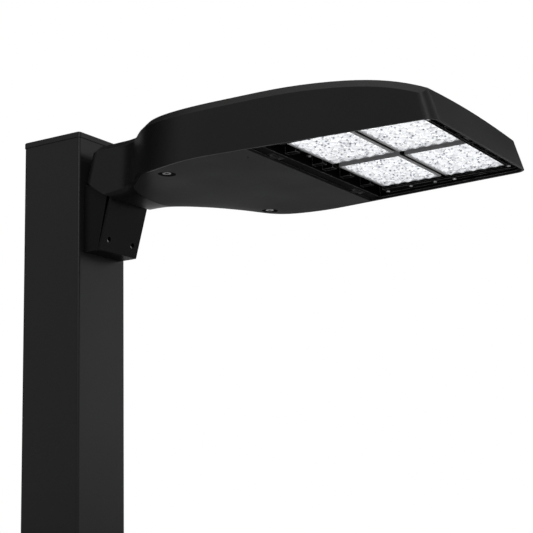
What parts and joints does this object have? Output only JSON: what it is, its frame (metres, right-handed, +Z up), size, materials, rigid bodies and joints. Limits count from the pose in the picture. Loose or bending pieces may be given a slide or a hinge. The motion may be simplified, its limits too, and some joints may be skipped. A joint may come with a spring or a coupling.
{
  "type": "area light",
  "caption": "Square-pole area light: a flat cast head on a bracket arm, with a hinged access door on captive screws under the driver bay and framed clear lens plates over LED boards.",
  "frame": {"origin": "centre of the pole section's lower end", "axes": "+Z up along the pole, +X out from the pole along the light, Y across it"},
  "size_m": [0.6827, 0.3292, 0.62],
  "materials": {
    "pole_coat": "satin powder coat",
    "arm_coat": "matte powder coat",
    "housing_coat": "matte powder coat",
    "door_coat": "matte powder coat",
    "tray_black": "matte black",
    "bezel_grey": "satin",
    "lens_clear": "clear moulded",
    "board_white": "solder mask",
    "led_phosphor": "phosphor",
    "screw_steel": "plain",
    "bolt_steel": "zinc plated",
    "spring_steel": "plain",
    "seal_rubber": "matte",
    "pad_grey": "matte",
    "plate_zinc": "galvanised",
    "driver_case": "satin",
    "terminal_plastic": "matte",
    "surge_plastic": "matte"
  },
  "bodies": {
    "mast": {"pole_shaft": "pole_coat", "pole_cap": "pole_coat", "arm_bracket": "arm_coat", "arm_cover": "arm_coat", "housing": "housing_coat", "optic_tray": "tray_black", "lens_frame_1": "bezel_grey", "lens_frame_2": "bezel_grey", "lens_frame_3": "bezel_grey", "lens_frame_4": "bezel_grey", "lens_array_1": "lens_clear", "lens_array_2": "lens_clear", "lens_array_3": "lens_clear", "lens_array_4": "lens_clear", "led_board_1": "board_white", "led_board_2": "board_white", "led_board_3": "board_white", "led_board_4": "board_white", "led_chips": "led_phosphor", "arm_cover_screws": "screw_steel", "optic_screws": "screw_steel", "tray_screws": "screw_steel", "gear_plate_screws": "screw_steel", "driver_screws": "screw_steel", "pole_bolts": "bolt_steel", "bolt_washers": "bolt_steel", "nut_plate": "bolt_steel", "neck_bolts": "bolt_steel", "hinge_pins": "spring_steel", "optic_gaskets": "seal_rubber", "wire_grommet": "seal_rubber", "thermal_pads": "pad_grey", "gear_plate": "plate_zinc", "led_driver": "driver_case", "terminal_block": "terminal_plastic", "surge_protector": "surge_plastic"},
    "door": {"access_door": "door_coat"},
    "near_screw": {"captive_screw_near": "screw_steel", "e_clip_near": "spring_steel"},
    "far_screw": {"captive_screw_far": "screw_steel", "e_clip_far": "spring_steel"}
  },
  "joints": [
    {"name": "door_hinge", "type": "hinge", "parent": "mast", "child": "door", "pos_m": [0.4028, 0, 0.514], "axis": [0, -1, 0], "range_deg": [0, 90]},
    {"name": "near_screw_turn", "type": "hinge", "parent": "door", "child": "near_screw", "pos_m": [0.2541, -0.122, 0.5135], "axis": [0, 0, 1], "continuous": true},
    {"name": "far_screw_turn", "type": "hinge", "parent": "door", "child": "far_screw", "pos_m": [0.2541, 0.122, 0.5135], "axis": [0, 0, 1], "continuous": true}
  ]
}
